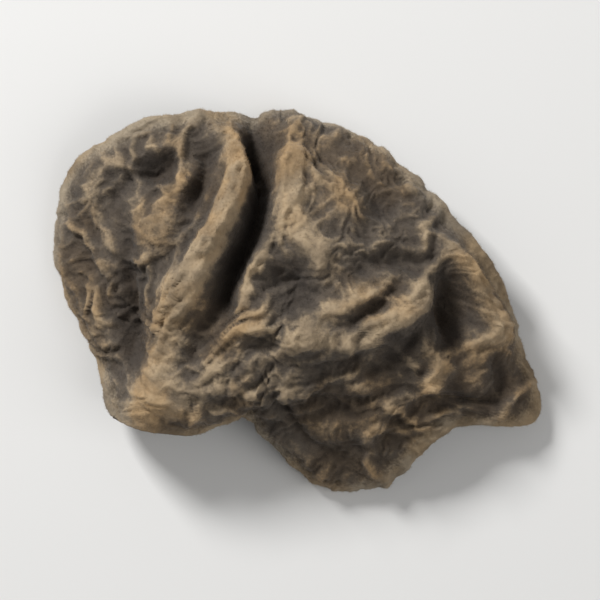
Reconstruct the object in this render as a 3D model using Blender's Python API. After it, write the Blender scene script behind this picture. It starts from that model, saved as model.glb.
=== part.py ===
"""Dried wood ear: one thin, leathery fruit body that lies on its rolled margin with its felted back up.

Metres, +Z up. The origin is on the surface that the ear lies on, under the middle of its box, and +X runs
along its longest side. The shape is worked out in millimetres and scaled once, when the mesh is made.
"""

import math

import bmesh
import bpy
import numpy as np
from mathutils import Vector

MM = 0.001

# Driving dimensions, in millimetres and degrees.
WALL = 1.0  # thickness of the dried sheet
NECK_WALL = 2.8  # thickness where the ear narrows to the neck that held it on the wood
CAP_RISE = 5.4  # how far the middle of the cap stands above the start of its rolled margin
CAP_LEAN = 0.10  # share by which the side over the neck stands higher than the far side
CREST_TIGHTNESS = 1.5  # how much tighter a fold's crest is than its flanks
FOLD_FADE = 0.25  # share of a fold's length over which it rises at each end
FOLD_END = 0.3  # share of its height that a fold keeps at its very ends
GRID_CELLS = 44  # cells along each side of the square net that is stretched over the ear
NET_STEP = 0.02  # distance over which the cap's slope is measured
LEAST_BEND = 1e-4  # in radians per millimetre: as good as straight
FLOOR_SOFTNESS = 0.05  # how gently the margin flattens where it meets the surface under it
MOST_THICKENING = 1.6  # the longest that a wall is laid off on a steep fold, against its thickness
EDGE_SHARE = 0.45  # share of the wall's thickness left at the rounded edge
EDGE_ROUNDING = 0.7  # over which the edge is rounded
EDGE_FADE = 0.5  # the folds are at their least this far in from the edge
EDGE_KEEP = 0.35  # the share of their height that the folds keep there

# The margin's reach from the middle of the cap, by bearing from +X.
MARGIN_REACH = (
    (4, 12.1),
    (19, 10.8),
    (36, 9.8),
    (54, 9.6),
    (73, 9.7),
    (90, 10.3),
    (108, 11.1),
    (124, 12.5),
    (137, 14.1),
    (151, 15.4),
    (165, 14.8),
    (179, 13.8),
    (194, 12.8),
    (208, 12.8),
    (217, 13.0),
    (228, 11.8),
    (238, 10.0),
    (248, 8.2),
    (259, 9.2),
    (270, 10.7),
    (281, 12.3),
    (293, 13.2),
    (306, 12.8),
    (317, 12.4),
    (323, 12.9),
    (331, 18.2),
    (338, 15.2),
    (349, 13.4),
)
# The same reach with its notch and point evened out: the middle of the cap is domed by this one.
CALM_REACH = (
    (0, 12.2),
    (45, 10.0),
    (90, 10.6),
    (135, 13.6),
    (160, 14.6),
    (200, 12.8),
    (245, 10.2),
    (290, 11.8),
    (335, 14.6),
)
# How far the margin lifts off the surface, by bearing: it touches down in four places.
MARGIN_LIFT = (
    (0, 1.4),
    (22, 2.9),
    (52, 2.6),
    (82, 0.2),
    (104, -0.3),
    (128, 2.6),
    (152, 0.9),
    (172, -0.2),
    (192, 0.3),
    (222, 2.4),
    (250, 2.2),
    (272, 0.2),
    (292, -0.3),
    (312, 2.6),
    (330, 0.6),
    (344, -0.8),
)
# The margin curls over this much of the sheet's run. The angle that it turns through changes with its bearing:
# positive where it rolls under, negative where it turns up.
CURL_RUN = 1.8
CURL_ANGLE = (
    (6, -55),
    (30, 40),
    (60, 85),
    (98, 105),
    (126, -45),
    (152, 60),
    (176, 100),
    (198, 80),
    (222, 5),
    (250, 50),
    (282, 105),
    (311, -45),
    (333, 30),
    (347, 75),
)

# The neck: its middle, the way it points, and where the knife went through.
NECK_AT = (-8.3, -6.9)
NECK_SPREAD = 2.3
NECK_CUT_AT = (-8.7, -8.0, 3.0)
NECK_CUT_FACING = (-0.22, -0.96, -0.16)
CUTTER_SIDE = 8.0
SET_DOWN = -0.62  # height of the surface under the ear, measured in the cap's own heights

# Folds of the sheet: height (negative for a crease), half width, and the way each one runs over the cap.
FOLDS = {
    "neck_fold": (1.8, 1.35, ((-8.7, -7.4), (-7.1, -4.1), (-6.1, -0.6), (-4.9, 1.9))),
    "neck_fold_upper": (1.8, 0.9, ((-5.3, 0.9), (-4.0, 3.5), (-3.2, 6.0), (-4.1, 8.4))),
    "deep_crease": (-2.9, 0.85, ((-2.4, 9.2), (-2.2, 7.2), (-2.1, 5.2), (-2.6, 3.3), (-3.5, 1.0), (-4.0, -0.8))),
    "hook_fold": (1.6, 0.95, ((0.4, 8.6), (-0.5, 6.5), (-0.7, 4.5), (0.3, 2.3), (2.1, 1.0))),
    "middle_fold": (0.9, 0.8, ((-1.6, 2.4), (-2.7, 0.3), (-3.1, -1.8))),
    "long_fold": (1.1, 0.85, ((-1.2, -2.8), (0.9, -2.0), (2.6, -0.9), (4.1, 0.5))),
    "low_fold": (1.4, 0.85, ((-1.8, -2.1), (1.0, -2.8), (3.6, -2.6), (6.2, -1.2), (7.6, 1.0))),
    "right_fold": (1.7, 1.05, ((7.2, 2.9), (9.0, 1.6), (10.4, -0.3), (10.8, -2.3), (10.2, -4.9))),
    "root_fold": (1.1, 1.1, ((-7.9, -7.3), (-6.0, -6.3), (-3.8, -5.6), (-0.8, -5.0), (1.6, -5.2))),
    "pad_fold": (1.0, 0.85, ((-5.4, -5.4), (-4.0, -3.4), (-2.4, -1.9), (-0.6, -0.6))),
    "foot_fold": (0.9, 0.8, ((3.6, -9.2), (5.2, -6.9), (7.5, -5.3), (9.1, -3.0))),
    "left_fold": (0.6, 0.8, ((-9.8, 8.3), (-11.2, 6.4), (-11.3, 4.0), (-10.9, 1.4), (-11.0, -1.8), (-9.9, -4.6))),
}
# Swellings and hollows between the folds: height, middle, both half widths, and the turn of the longer one.
HUMPS = {
    "right_lobe": (1.5, (2.2, 4.9), (2.8, 2.2), 88),
    "lobe_foot": (0.7, (1.4, -0.1), (1.5, 1.1), 100),
    "notch_swell": (0.7, (-2.2, -4.1), (1.6, 0.9), 30),
    "right_swell": (0.9, (6.4, 2.7), (1.4, 0.9), -30),
    "left_hump": (0.9, (-7.4, 3.3), (2.1, 1.1), 75),
    "crown": (0.6, (5.0, -1.2), (1.6, 1.0), 25),
    "left_hollow": (-0.8, (-7.9, 6.2), (1.6, 1.0), 20),
    "upper_hollow": (-1.0, (-5.6, 5.5), (1.6, 0.8), 65),
    "neck_hollow": (-1.2, (-9.1, -0.4), (3.1, 0.8), 92),
    "middle_hollow": (-0.8, (0.1, 0.0), (1.1, 0.9), 0),
    "right_hollow": (-1.4, (8.4, -1.7), (1.9, 0.85), 100),
    "low_hollow": (-0.6, (5.4, -4.8), (1.9, 1.1), 50),
    "bay_hollow": (-0.8, (2.0, -6.4), (1.6, 0.9), 0),
    "notch_hollow": (-0.4, (-3.9, -6.6), (1.6, 0.9), 160),
}
# A shallow gutter runs all round, just inside the rolled margin.
GUTTER_DEPTH = 0.6
GUTTER_INSET = 3.1
GUTTER_WIDTH = 0.9

# The middle of the ear's box in the cap's own plan, which becomes the origin.
BOX_MIDDLE = (0.23, -0.77)

FRUIT_BODY_COLOUR = (0.105, 0.078, 0.055, 1.0)


def clear_scene():
    for old in list(bpy.data.objects):
        bpy.data.objects.remove(old)


def by_bearing(pairs, angle, blur=4.0):
    """The value at each angle, in radians, on a smooth closed curve through (bearing, value) pairs."""
    bearings, values = zip(*pairs)
    degrees = np.arange(-180, 541)
    line = np.interp(degrees, bearings, values, period=360)
    kernel = np.exp(-0.5 * (np.arange(-30, 31) / blur) ** 2)
    line = np.convolve(line, kernel / kernel.sum(), mode="same")
    return np.interp(np.degrees(angle) % 360, degrees, line)


def smooth_path(corners, steps=8):
    """Points along a Catmull-Rom curve through the corners."""
    corners = np.array(corners, float)
    ends = np.vstack([2 * corners[0] - corners[1], corners, 2 * corners[-1] - corners[-2]])
    t = np.linspace(0, 1, steps, endpoint=False)[:, None]
    runs = []
    for before, start, end, after in zip(ends, ends[1:], ends[2:], ends[3:]):
        pull = 2 * before - 5 * start + 4 * end - after
        twist = 3 * start - before - 3 * end + after
        runs.append(start + ((end - before) * t + pull * t**2 + twist * t**3) / 2)
    return np.vstack([*runs, corners[-1:]])


def fold_profile(x, y, height, half_width, corners):
    """A ridge along a curve, with a tight crest and hollow flanks, which fades over both its ends."""
    path = smooth_path(corners)
    starts = path[:-1]
    runs = np.diff(path, axis=0)
    lengths = np.hypot(*runs.T)
    covered = np.concatenate([[0], np.cumsum(lengths)])[:-1]
    dx = x[:, None] - starts[:, 0]
    dy = y[:, None] - starts[:, 1]
    share = np.clip((dx * runs[:, 0] + dy * runs[:, 1]) / lengths**2, 0, 1)
    away = np.hypot(dx - share * runs[:, 0], dy - share * runs[:, 1])
    nearest = away.argmin(axis=1)
    rows = np.arange(len(x))
    travelled = (covered[nearest] + share[rows, nearest] * lengths[nearest]) / lengths.sum()
    fade = smooth_step(np.minimum(travelled, 1 - travelled) / FOLD_FADE)
    crest = 1 / np.cosh(away[rows, nearest] / half_width * CREST_TIGHTNESS)
    return height * (FOLD_END + (1 - FOLD_END) * fade) * crest


def hump_profile(x, y, height, middle, half_widths, turn):
    """An oval swelling, or a hollow where the height is negative."""
    c = math.cos(math.radians(turn))
    s = math.sin(math.radians(turn))
    dx = x - middle[0]
    dy = y - middle[1]
    along = (c * dx + s * dy) / half_widths[0]
    across = (c * dy - s * dx) / half_widths[1]
    return height * np.exp(-(along**2) - across**2)


def neck_share(x, y):
    """1 at the neck, falling to 0 a few millimetres away from it."""
    away = np.hypot(x - NECK_AT[0], y - NECK_AT[1])
    return np.exp(-((away / NECK_SPREAD) ** 2))


def smooth_step(value):
    value = np.clip(value, 0, 1)
    return value * value * (3 - 2 * value)


def relief(x, y):
    """Height of the folds, humps and marginal gutter at a place on the spread sheet."""
    height = np.zeros_like(x)
    for size in FOLDS.values():
        height += fold_profile(x, y, *size)
    for size in HUMPS.values():
        height += hump_profile(x, y, *size)
    neck = neck_share(x, y)
    inset = full_run(np.arctan2(y, x)) - np.hypot(x, y)
    kept = EDGE_KEEP + (1 - EDGE_KEEP) * smooth_step((inset - EDGE_FADE) / CURL_RUN)
    height *= np.maximum(kept, neck)
    gutter = np.exp(-(((inset - GUTTER_INSET) / GUTTER_WIDTH) ** 2))
    return height - GUTTER_DEPTH * gutter * (1 - neck)


def curl_bend(angle):
    """How sharply the margin bends, in radians per millimetre: positive down, negative up, never nought."""
    bend = np.radians(by_bearing(CURL_ANGLE, angle, blur=7)) / CURL_RUN
    return np.where(np.abs(bend) < LEAST_BEND, LEAST_BEND, bend)


def flat_run(angle):
    """The sheet's run from its middle to where it starts to curl, so that the curl ends at its reach."""
    bend = np.abs(curl_bend(angle))
    curl_reach = np.sin(np.minimum(bend * CURL_RUN, math.pi / 2)) / bend
    return by_bearing(MARGIN_REACH, angle) - WALL / 2 - curl_reach


def full_run(angle):
    """The sheet's run from its middle to its edge."""
    return flat_run(angle) + CURL_RUN


def rolled_cap(x, y):
    """The cap without its folds: a low dome whose margin turns under or up along an arc."""
    angle = np.arctan2(y, x)
    out = np.hypot(x, y)
    bend = curl_bend(angle)
    straight = flat_run(angle)
    turned = np.clip(out - straight, 0, None) * bend
    plan = np.minimum(out, straight) + np.sin(turned) / bend
    reach = by_bearing(MARGIN_REACH, angle)
    calm = by_bearing(CALM_REACH, angle, blur=14)
    share = plan / (calm + (reach - calm) * np.clip(plan / reach, 0, 1) ** 2)
    rise = CAP_RISE * (1 - share**2) * (1 - CAP_LEAN * x / MARGIN_REACH[0][1])
    lift = by_bearing(MARGIN_LIFT, angle, blur=8) * share**3
    drop = (1 - np.cos(turned)) / bend
    return np.stack([plan * np.cos(angle), plan * np.sin(angle), rise + lift - drop])


def across_and_up(shape, x, y):
    """How a shape changes for one millimetre along x and along y."""
    along_x = (shape(x + NET_STEP, y) - shape(x - NET_STEP, y)) / (2 * NET_STEP)
    along_y = (shape(x, y + NET_STEP) - shape(x, y - NET_STEP)) / (2 * NET_STEP)
    return along_x, along_y


def spread_sheet(a, b):
    """The flat sheet before it curls: a net of side 2 stretched to the ear's outline, as x and y."""
    u = a * np.sqrt(1 - b**2 / 2)
    v = b * np.sqrt(1 - a**2 / 2)
    angle = np.arctan2(v, u)
    out = np.hypot(u, v) * full_run(angle)
    return out * np.cos(angle), out * np.sin(angle)


def skin(a, b, side):
    """One skin of the sheet, its back for side 1 and its spore-bearing side for -1, resting on the surface.

    The folds and the wall are both laid off along the smooth cap's own normal, so the skins never cross. On a
    steep fold the wall is laid off longer, which keeps it as thick as elsewhere.
    """
    x, y = spread_sheet(a, b)
    normal = np.cross(*across_and_up(rolled_cap, x, y), axis=0)
    normal /= np.linalg.norm(normal, axis=0)
    steepness = np.hypot(*across_and_up(relief, x, y))
    thicker = np.minimum(np.hypot(1, steepness), MOST_THICKENING)
    neck = neck_share(x, y)
    inset = full_run(np.arctan2(y, x)) - np.hypot(x, y)
    edge = EDGE_SHARE + (1 - EDGE_SHARE) * smooth_step(inset / EDGE_ROUNDING)
    wall = (WALL * thicker * (1 - neck) + NECK_WALL * neck) * edge
    points = rolled_cap(x, y) + normal * (relief(x, y) + side * wall / 2)
    points[2] = FLOOR_SOFTNESS * np.logaddexp(0, (points[2] - SET_DOWN) / FLOOR_SOFTNESS)
    points[:2] -= np.reshape(BOX_MIDDLE, (2, 1))
    return points


def fruit_body_mesh():
    """Both skins as square nets, joined by a band of faces round the margin."""
    shell = bmesh.new()
    for side in (1, -1):
        before = set(shell.verts)
        bmesh.ops.create_grid(shell, x_segments=GRID_CELLS, y_segments=GRID_CELLS, size=1)
        net = [vert for vert in shell.verts if vert not in before]
        a, b, _ = np.array([vert.co for vert in net]).T
        for vert, place in zip(net, skin(a, b, side).T):
            vert.co = place * MM
    bmesh.ops.bridge_loops(shell, edges=[edge for edge in shell.edges if edge.is_boundary])
    bmesh.ops.recalc_face_normals(shell, faces=shell.faces)
    mesh = bpy.data.meshes.new("fruit_body")
    shell.to_mesh(mesh)
    shell.free()
    return mesh


def neck_cutter():
    """A block whose one face is the flat cut across the neck."""
    cutter = bpy.data.objects.new("neck_cutter", bpy.data.meshes.new("neck_cutter"))
    block = bmesh.new()
    bmesh.ops.create_cube(block, size=CUTTER_SIDE * MM)
    block.to_mesh(cutter.data)
    block.free()
    facing = Vector(NECK_CUT_FACING).normalized()
    cutter.rotation_euler = facing.to_track_quat("Z", "Y").to_euler()
    middle = Vector((*BOX_MIDDLE, 0))
    cutter.location = (Vector(NECK_CUT_AT) - middle + facing * CUTTER_SIDE / 2) * MM
    cutter.hide_render = True
    cutter.display_type = "WIRE"
    bpy.context.scene.collection.objects.link(cutter)
    return cutter


def fruit_body_material():
    """Matt grey-brown dried tissue."""
    material = bpy.data.materials.new("fruit_body")
    material.use_nodes = True
    shader = material.node_tree.nodes["Principled BSDF"]
    shader.inputs["Base Color"].default_value = FRUIT_BODY_COLOUR
    shader.inputs["Roughness"].default_value = 0.85
    shader.inputs["Metallic"].default_value = 0.0
    return material


def main():
    clear_scene()
    mesh = fruit_body_mesh()
    mesh.materials.append(fruit_body_material())
    mesh.shade_smooth()
    body = bpy.data.objects.new("fruit_body", mesh)
    bpy.context.scene.collection.objects.link(body)
    cut = body.modifiers.new("neck_cut", "BOOLEAN")
    cut.operation = "DIFFERENCE"
    cut.object = neck_cutter()


main()
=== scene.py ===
"""Dried wood ear: the fruit body with its felted back, smooth underside and pale margin, in a soft studio.

The ear is one closed surface. Two skins are laid off along the normal of a smooth cap, folded and wrinkled,
and a rounded nose closes them round the margin. Shape work is in millimetres, and the meshes are in metres.
Places x and y are on the ear's sheet as if it were spread flat, from its middle.
"""

from __future__ import annotations

import logging
import math
from dataclasses import dataclass, field
from enum import Enum, IntEnum
from typing import Callable

import bpy
import numpy as np
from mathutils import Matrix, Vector

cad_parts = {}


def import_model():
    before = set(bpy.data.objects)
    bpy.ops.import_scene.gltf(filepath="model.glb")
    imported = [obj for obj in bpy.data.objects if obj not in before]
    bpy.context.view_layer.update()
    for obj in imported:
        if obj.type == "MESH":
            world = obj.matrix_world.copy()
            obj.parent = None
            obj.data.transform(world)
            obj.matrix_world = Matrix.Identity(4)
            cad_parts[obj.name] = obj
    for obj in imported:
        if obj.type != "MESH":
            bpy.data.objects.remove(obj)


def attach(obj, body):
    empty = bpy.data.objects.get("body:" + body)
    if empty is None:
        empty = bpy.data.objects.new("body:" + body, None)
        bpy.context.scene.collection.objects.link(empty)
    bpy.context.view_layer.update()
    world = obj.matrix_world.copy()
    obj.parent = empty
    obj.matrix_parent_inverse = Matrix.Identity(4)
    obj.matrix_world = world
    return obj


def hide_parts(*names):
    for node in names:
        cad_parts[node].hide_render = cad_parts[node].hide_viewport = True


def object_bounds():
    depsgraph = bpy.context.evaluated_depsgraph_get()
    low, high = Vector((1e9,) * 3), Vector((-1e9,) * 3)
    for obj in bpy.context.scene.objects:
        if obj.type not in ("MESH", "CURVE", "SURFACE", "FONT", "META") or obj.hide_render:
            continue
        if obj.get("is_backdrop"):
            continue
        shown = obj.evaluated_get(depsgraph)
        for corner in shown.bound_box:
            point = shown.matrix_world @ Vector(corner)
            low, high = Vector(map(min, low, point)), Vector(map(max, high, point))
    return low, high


MM = 0.001
BAKE_MAP = "OFBake"
SPIKE_FACES = ((0, 1, 3), (1, 2, 3), (2, 0, 3), (2, 1, 0))
SPIKE_CORNERS = ((-0.004, -0.004), (0.004, -0.004), (0.0, 0.004), (0.0, 0.0))
# The finishes read crest and swell to paint shade into the hollows and highlight onto the ridges.
SKIN_VALUES = ("crest", "swell", "inset", "neck", "under", "cut")
NECK_AT = (-8.3, -6.9)
CORD_SOFTNESS = 0.01
NEARLY_NOUGHT = 1e-9
Array = np.ndarray
Colour = tuple[float, float, float, float]
Pair = tuple[float, float]
Pairs = tuple[Pair, ...]
Triple = tuple[float, float, float]
Shape = Callable[[Array, Array], Array]
Socket = bpy.types.NodeSocket

log = logging.getLogger("wood_ear")


class Side(Enum):
    """The two faces of the sheet, as the sign of the way each lies from its middle."""

    BACK = 1
    UNDER = -1


class Finish(Enum):
    """The material slots of the fruit body, in the order of the mesh's slots."""

    BACK = 0
    UNDER = 1


class Seed(IntEnum):
    """The seed of each random relief."""

    PUSH_X = 3
    PUSH_Y = 4
    JOLT_X = 5
    JOLT_Y = 6
    FANS = 11
    FINE_FANS = 12
    NET = 21
    SMALL = 31
    TINY = 41
    PATCHES = 51
    WHIRL = 61
    DOWN = 70
    MARGIN = 71
    FINE_MARGIN = 72
    FIBRES = 81


def smooth_step(value: Array) -> Array:
    """Rises from 0 to 1 with no corner as the value goes from 0 to 1."""
    value = np.clip(value, 0, 1)
    return value * value * (3 - 2 * value)


def slopes(shape: Shape, x: Array, y: Array, step: float = 0.02) -> tuple[Array, Array]:
    """How a shape changes for each millimetre along x and along y.

    Args:
        shape: A function of x and y.
        x: Places across the sheet.
        y: Places up the sheet.
        step: Half the distance between the two samples.

    Returns:
        The change along x and the change along y.
    """
    along_x = (shape(x + step, y) - shape(x - step, y)) / (2 * step)
    along_y = (shape(x, y + step) - shape(x, y - step)) / (2 * step)
    return along_x, along_y


def cords(shape: Shape, x: Array, y: Array, width: float) -> Array:
    """Rounded cords of one width along the lines where a shape is nought.

    A shape over its own steepness is about the distance to that line, and the cord is a bell of it.

    Args:
        shape: A function of x and y that takes both signs.
        x: Places across the sheet.
        y: Places up the sheet.
        width: Half the cord's width.

    Returns:
        1 along the crests, falling to 0 between them.
    """
    steepness = np.hypot(*slopes(shape, x, y))
    return np.exp(-((shape(x, y) / (width * steepness + CORD_SOFTNESS)) ** 2))


@dataclass(frozen=True)
class Noise:
    """Smooth random relief: a slope is drawn for each corner of a square lattice, and blended in between."""

    seed: int
    cells: int = 256
    gain: float = 1.5

    def __call__(self, x: Array, y: Array) -> Array:
        """Gradient noise of about -1 to 1, with features one lattice cell across.

        Args:
            x: Places along the lattice.
            y: Places across the lattice.

        Returns:
            The height at each place.
        """
        draw = np.random.default_rng(self.seed)
        order = draw.permutation(self.cells)
        turn = draw.uniform(0, 2 * math.pi, self.cells)
        column, row = np.floor(x).astype(int), np.floor(y).astype(int)
        across, up = x - column, y - row

        def corner(right: int, above: int) -> Array:
            """The plane through one corner of the cell, by its own slope."""
            drawn = turn[order[(order[(column + right) % self.cells] + row + above) % self.cells]]
            return np.cos(drawn) * (across - right) + np.sin(drawn) * (up - above)

        ease_x = across**3 * (across * (6 * across - 15) + 10)
        ease_y = up**3 * (up * (6 * up - 15) + 10)
        low = corner(0, 0) + ease_x * (corner(1, 0) - corner(0, 0))
        high = corner(0, 1) + ease_x * (corner(1, 1) - corner(0, 1))
        return self.gain * (low + ease_y * (high - low))


def relief(seed: Seed, x: Array, y: Array, cell: float) -> Array:
    """A seed's noise, with features one cell across."""
    return Noise(seed)(x / cell, y / cell)


@dataclass(frozen=True)
class Ring:
    """A value that changes with bearing round the cap, blurred between its (bearing, value) pairs."""

    pairs: Pairs
    blur: float
    blur_reach: int = 30

    def at(self, angle: Array) -> Array:
        """The value at each angle: straight runs between the pairs, blurred by a bell a few degrees wide.

        Args:
            angle: Bearings from +X, in radians.

        Returns:
            The value at each bearing.
        """
        bearings, values = zip(*self.pairs)
        degrees = np.arange(-180, 541)
        line = np.interp(degrees, bearings, values, period=360)
        kernel = np.exp(-0.5 * (np.arange(-self.blur_reach, self.blur_reach + 1) / self.blur) ** 2)
        line = np.convolve(line, kernel / kernel.sum(), mode="same")
        return np.interp(np.degrees(angle) % 360, degrees, line)


@dataclass(frozen=True)
class Fold:
    """A ridge of the sheet, or a crease where its height is negative, along a curve over the cap."""

    height: float
    half_width: float
    corners: Pairs
    flank_share: float = 1.3
    end_run: float = 0.25
    end_share: float = 0.3

    def path(self, steps: int = 10) -> Array:
        """Points along a Catmull-Rom curve through the corners.

        Args:
            steps: The number of points for each run between two corners.

        Returns:
            The points, one in each row.
        """
        corners = np.array(self.corners, float)
        ends = np.vstack([2 * corners[0] - corners[1], corners, 2 * corners[-1] - corners[-2]])
        t = np.linspace(0, 1, steps, endpoint=False)[:, None]
        runs = []
        for before, start, end, after in zip(ends, ends[1:], ends[2:], ends[3:]):
            pull = 2 * before - 5 * start + 4 * end - after
            twist = 3 * start - before - 3 * end + after
            runs.append(start + ((end - before) * t + pull * t**2 + twist * t**3) / 2)
        return np.vstack([*runs, corners[-1:]])

    def rise(self, x: Array, y: Array) -> Array:
        """The fold's height: its full height as a bell of the distance from its crest line.

        Args:
            x: Places across the sheet.
            y: Places up the sheet.

        Returns:
            The height at each place, which fades over both ends of the curve.
        """
        path = self.path()
        runs = np.diff(path, axis=0)
        lengths = np.hypot(*runs.T)
        covered = np.concatenate([[0], np.cumsum(lengths)])
        nearest = np.full(x.shape, np.inf)
        travelled = np.zeros(x.shape)
        for start, run, length, before in zip(path, runs, lengths, covered):
            share = np.clip(((x - start[0]) * run[0] + (y - start[1]) * run[1]) / length**2, 0, 1)
            away = np.hypot(x - start[0] - share * run[0], y - start[1] - share * run[1])
            closer = away < nearest
            nearest = np.where(closer, away, nearest)
            travelled = np.where(closer, before + share * length, travelled)
        travelled /= covered[-1]
        fade = smooth_step(np.minimum(travelled, 1 - travelled) / self.end_run)
        full = self.height * (self.end_share + (1 - self.end_share) * fade)
        return full * np.exp(-((nearest / (self.half_width * self.flank_share)) ** 2))


@dataclass(frozen=True)
class Hump:
    """An oval swelling between the folds, or a hollow where its height is negative."""

    height: float
    middle: Pair
    half_widths: Pair
    turn: float

    def rise(self, x: Array, y: Array) -> Array:
        """The swelling's height: a bell over an oval, whose first half width is turned so far from +X.

        Args:
            x: Places across the sheet.
            y: Places up the sheet.

        Returns:
            The height at each place.
        """
        c, s = math.cos(math.radians(self.turn)), math.sin(math.radians(self.turn))
        dx, dy = x - self.middle[0], y - self.middle[1]
        along = (c * dx + s * dy) / self.half_widths[0]
        across = (c * dy - s * dx) / self.half_widths[1]
        return self.height * np.exp(-(along**2) - across**2)


@dataclass(frozen=True)
class CapForm:
    """The smooth cap with its curled margin, and the folds that it dried into, as in the solid part."""

    rise: float = 5.4
    lean: float = 0.10
    lean_reach: float = 12.0
    wall: float = 1.0
    curl_run: float = 1.8
    least_bend: float = 1e-4
    neck_at: Pair = NECK_AT
    neck_spread: float = 2.3
    gutter_depth: float = 0.6
    gutter_inset: float = 3.1
    gutter_width: float = 0.9
    edge_fade: float = 0.5
    edge_keep: float = 0.35
    reach: Ring = Ring(
        (
            (4, 12.1), (19, 10.8), (36, 9.8), (54, 9.6), (73, 9.7), (90, 10.3), (108, 11.1), (124, 12.5),
            (137, 14.1), (151, 15.4), (165, 14.8), (179, 13.8), (194, 12.8), (208, 12.8), (217, 13.0),
            (228, 11.8), (238, 10.0), (248, 8.2), (259, 9.2), (270, 10.7), (281, 12.3), (293, 13.2),
            (306, 12.8), (317, 12.4), (323, 12.9), (331, 18.2), (338, 15.2), (349, 13.4),
        ),
        4,
    )
    calm_reach: Ring = Ring(
        (
            (0, 12.2), (45, 10.0), (90, 10.6), (135, 13.6), (160, 14.6), (200, 12.8), (245, 10.2),
            (290, 11.8), (335, 14.6),
        ),
        14,
    )
    waves: float = 0.2
    wave_count: float = 4.2
    nick_count: float = 11
    nick_share: float = 0.5
    lift: Ring = Ring(
        (
            (0, 1.4), (22, 2.9), (52, 2.6), (82, 0.2), (104, -0.3), (128, 2.6), (152, 0.9), (172, -0.2),
            (192, 0.3), (222, 2.4), (250, 2.2), (272, 0.2), (292, -0.3), (312, 2.6), (330, 0.6),
            (344, -0.8),
        ),
        8,
    )
    curl: Ring = Ring(
        (
            (6, -55), (30, 40), (60, 85), (98, 105), (126, -45), (152, 60), (176, 100), (198, 80),
            (222, 5), (250, 50), (282, 105), (311, -45), (333, 30), (347, 75),
        ),
        7,
    )
    folds: tuple[Fold, ...] = (
        Fold(1.6, 0.95, ((-8.7, -7.4), (-7.1, -4.1), (-6.1, -0.6), (-4.9, 1.9))),
        Fold(1.7, 0.6, ((-5.3, 0.9), (-4.0, 3.5), (-3.2, 6.0), (-4.3, 8.6)), end_share=0.4),
        Fold(
            -2.4,
            0.57,
            ((-2.5, 10.0), (-2.2, 7.4), (-2.0, 5.4), (-2.5, 3.3), (-3.5, 1.0), (-4.0, -0.8)),
            end_share=0.6,
        ),
        Fold(1.4, 0.85, ((0.4, 8.6), (-0.5, 6.5), (-0.7, 4.5), (0.3, 2.3), (2.1, 1.0)), end_share=0.5),
        Fold(0.9, 0.55, ((-1.6, 2.4), (-2.7, 0.3), (-3.1, -1.8))),
        Fold(1.0, 0.65, ((-1.2, -2.8), (0.9, -2.0), (2.6, -0.9), (4.1, 0.5))),
        Fold(1.3, 0.64, ((-1.8, -2.1), (1.0, -2.8), (3.6, -2.6), (6.2, -1.2), (7.6, 1.0))),
        Fold(1.9, 0.95, ((7.2, 2.9), (9.0, 1.6), (10.4, -0.3), (10.8, -2.3), (10.2, -4.9))),
        Fold(1.2, 1.1, ((-7.9, -7.3), (-6.0, -6.3), (-3.8, -5.6), (-0.8, -5.0), (1.6, -5.2))),
        Fold(0.9, 0.6, ((3.6, -9.2), (5.2, -6.9), (7.5, -5.3), (9.1, -3.0))),
        Fold(0.6, 0.7, ((-9.8, 8.3), (-11.2, 6.4), (-11.3, 4.0), (-10.9, 1.4), (-11.0, -1.8), (-9.9, -4.6))),
        Fold(0.4, 0.5, ((3.4, 2.2), (5.0, 3.0), (6.4, 4.6), (6.2, 6.4))),
        Fold(0.7, 0.45, ((3.0, -0.6), (4.6, 0.2), (6.0, 0.2), (7.2, -0.6))),
        Fold(0.7, 0.5, ((2.0, -5.4), (4.3, -5.4), (6.4, -4.2), (8.0, -2.0))),
        Fold(1.1, 0.6, ((-5.4, -5.4), (-4.0, -3.4), (-2.4, -1.9), (-0.6, -0.6))),
        Fold(0.5, 0.5, ((-9.6, 6.6), (-8.7, 3.7), (-8.9, 0.8), (-8.6, -2.6))),
        Fold(0.4, 0.45, ((-9.0, 7.6), (-7.4, 8.0), (-6.2, 7.2), (-6.4, 5.0))),
    )
    humps: tuple[Hump, ...] = (
        Hump(1.5, (2.2, 4.9), (2.8, 2.2), 88),
        Hump(0.8, (1.4, -0.1), (1.5, 1.1), 100),
        Hump(0.7, (-2.2, -4.1), (1.6, 0.9), 30),
        Hump(0.9, (6.4, 2.7), (1.4, 0.9), -30),
        Hump(0.5, (1.5, -8.4), (2.2, 1.2), 0),
        Hump(0.9, (-7.4, 3.3), (2.1, 0.95), 75),
        Hump(0.9, (5.0, -1.2), (1.6, 1.0), 25),
        Hump(-0.8, (-7.9, 6.2), (1.5, 0.9), 20),
        Hump(-1.0, (-5.6, 5.5), (1.6, 0.75), 65),
        Hump(-1.2, (-9.1, -0.4), (3.1, 0.8), 92),
        Hump(-0.8, (0.1, 0.0), (1.1, 0.9), 0),
        Hump(-1.4, (8.4, -1.7), (1.9, 0.8), 100),
        Hump(-0.4, (5.4, -4.8), (1.9, 1.1), 50),
        Hump(-0.7, (2.0, -6.4), (1.6, 0.9), 0),
        Hump(-0.3, (-3.9, -6.6), (1.6, 0.8), 160),
        Hump(0.4, (-6.6, 0.0), (1.8, 1.2), 60),
        Hump(0.4, (-4.6, -6.0), (2.2, 1.2), 10),
    )

    def outline(self, angle: Array) -> Array:
        """The margin's reach: its smooth ring, with small waves and nicks.

        Args:
            angle: Bearings from +X, in radians.

        Returns:
            The distance from the middle, seen from above.
        """
        c, s = np.cos(angle), np.sin(angle)
        waves = Noise(Seed.MARGIN)(self.wave_count * c, self.wave_count * s)
        nicks = Noise(Seed.FINE_MARGIN)(self.nick_count * c, self.nick_count * s)
        return self.reach.at(angle) + self.waves * (waves + self.nick_share * nicks)

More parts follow.
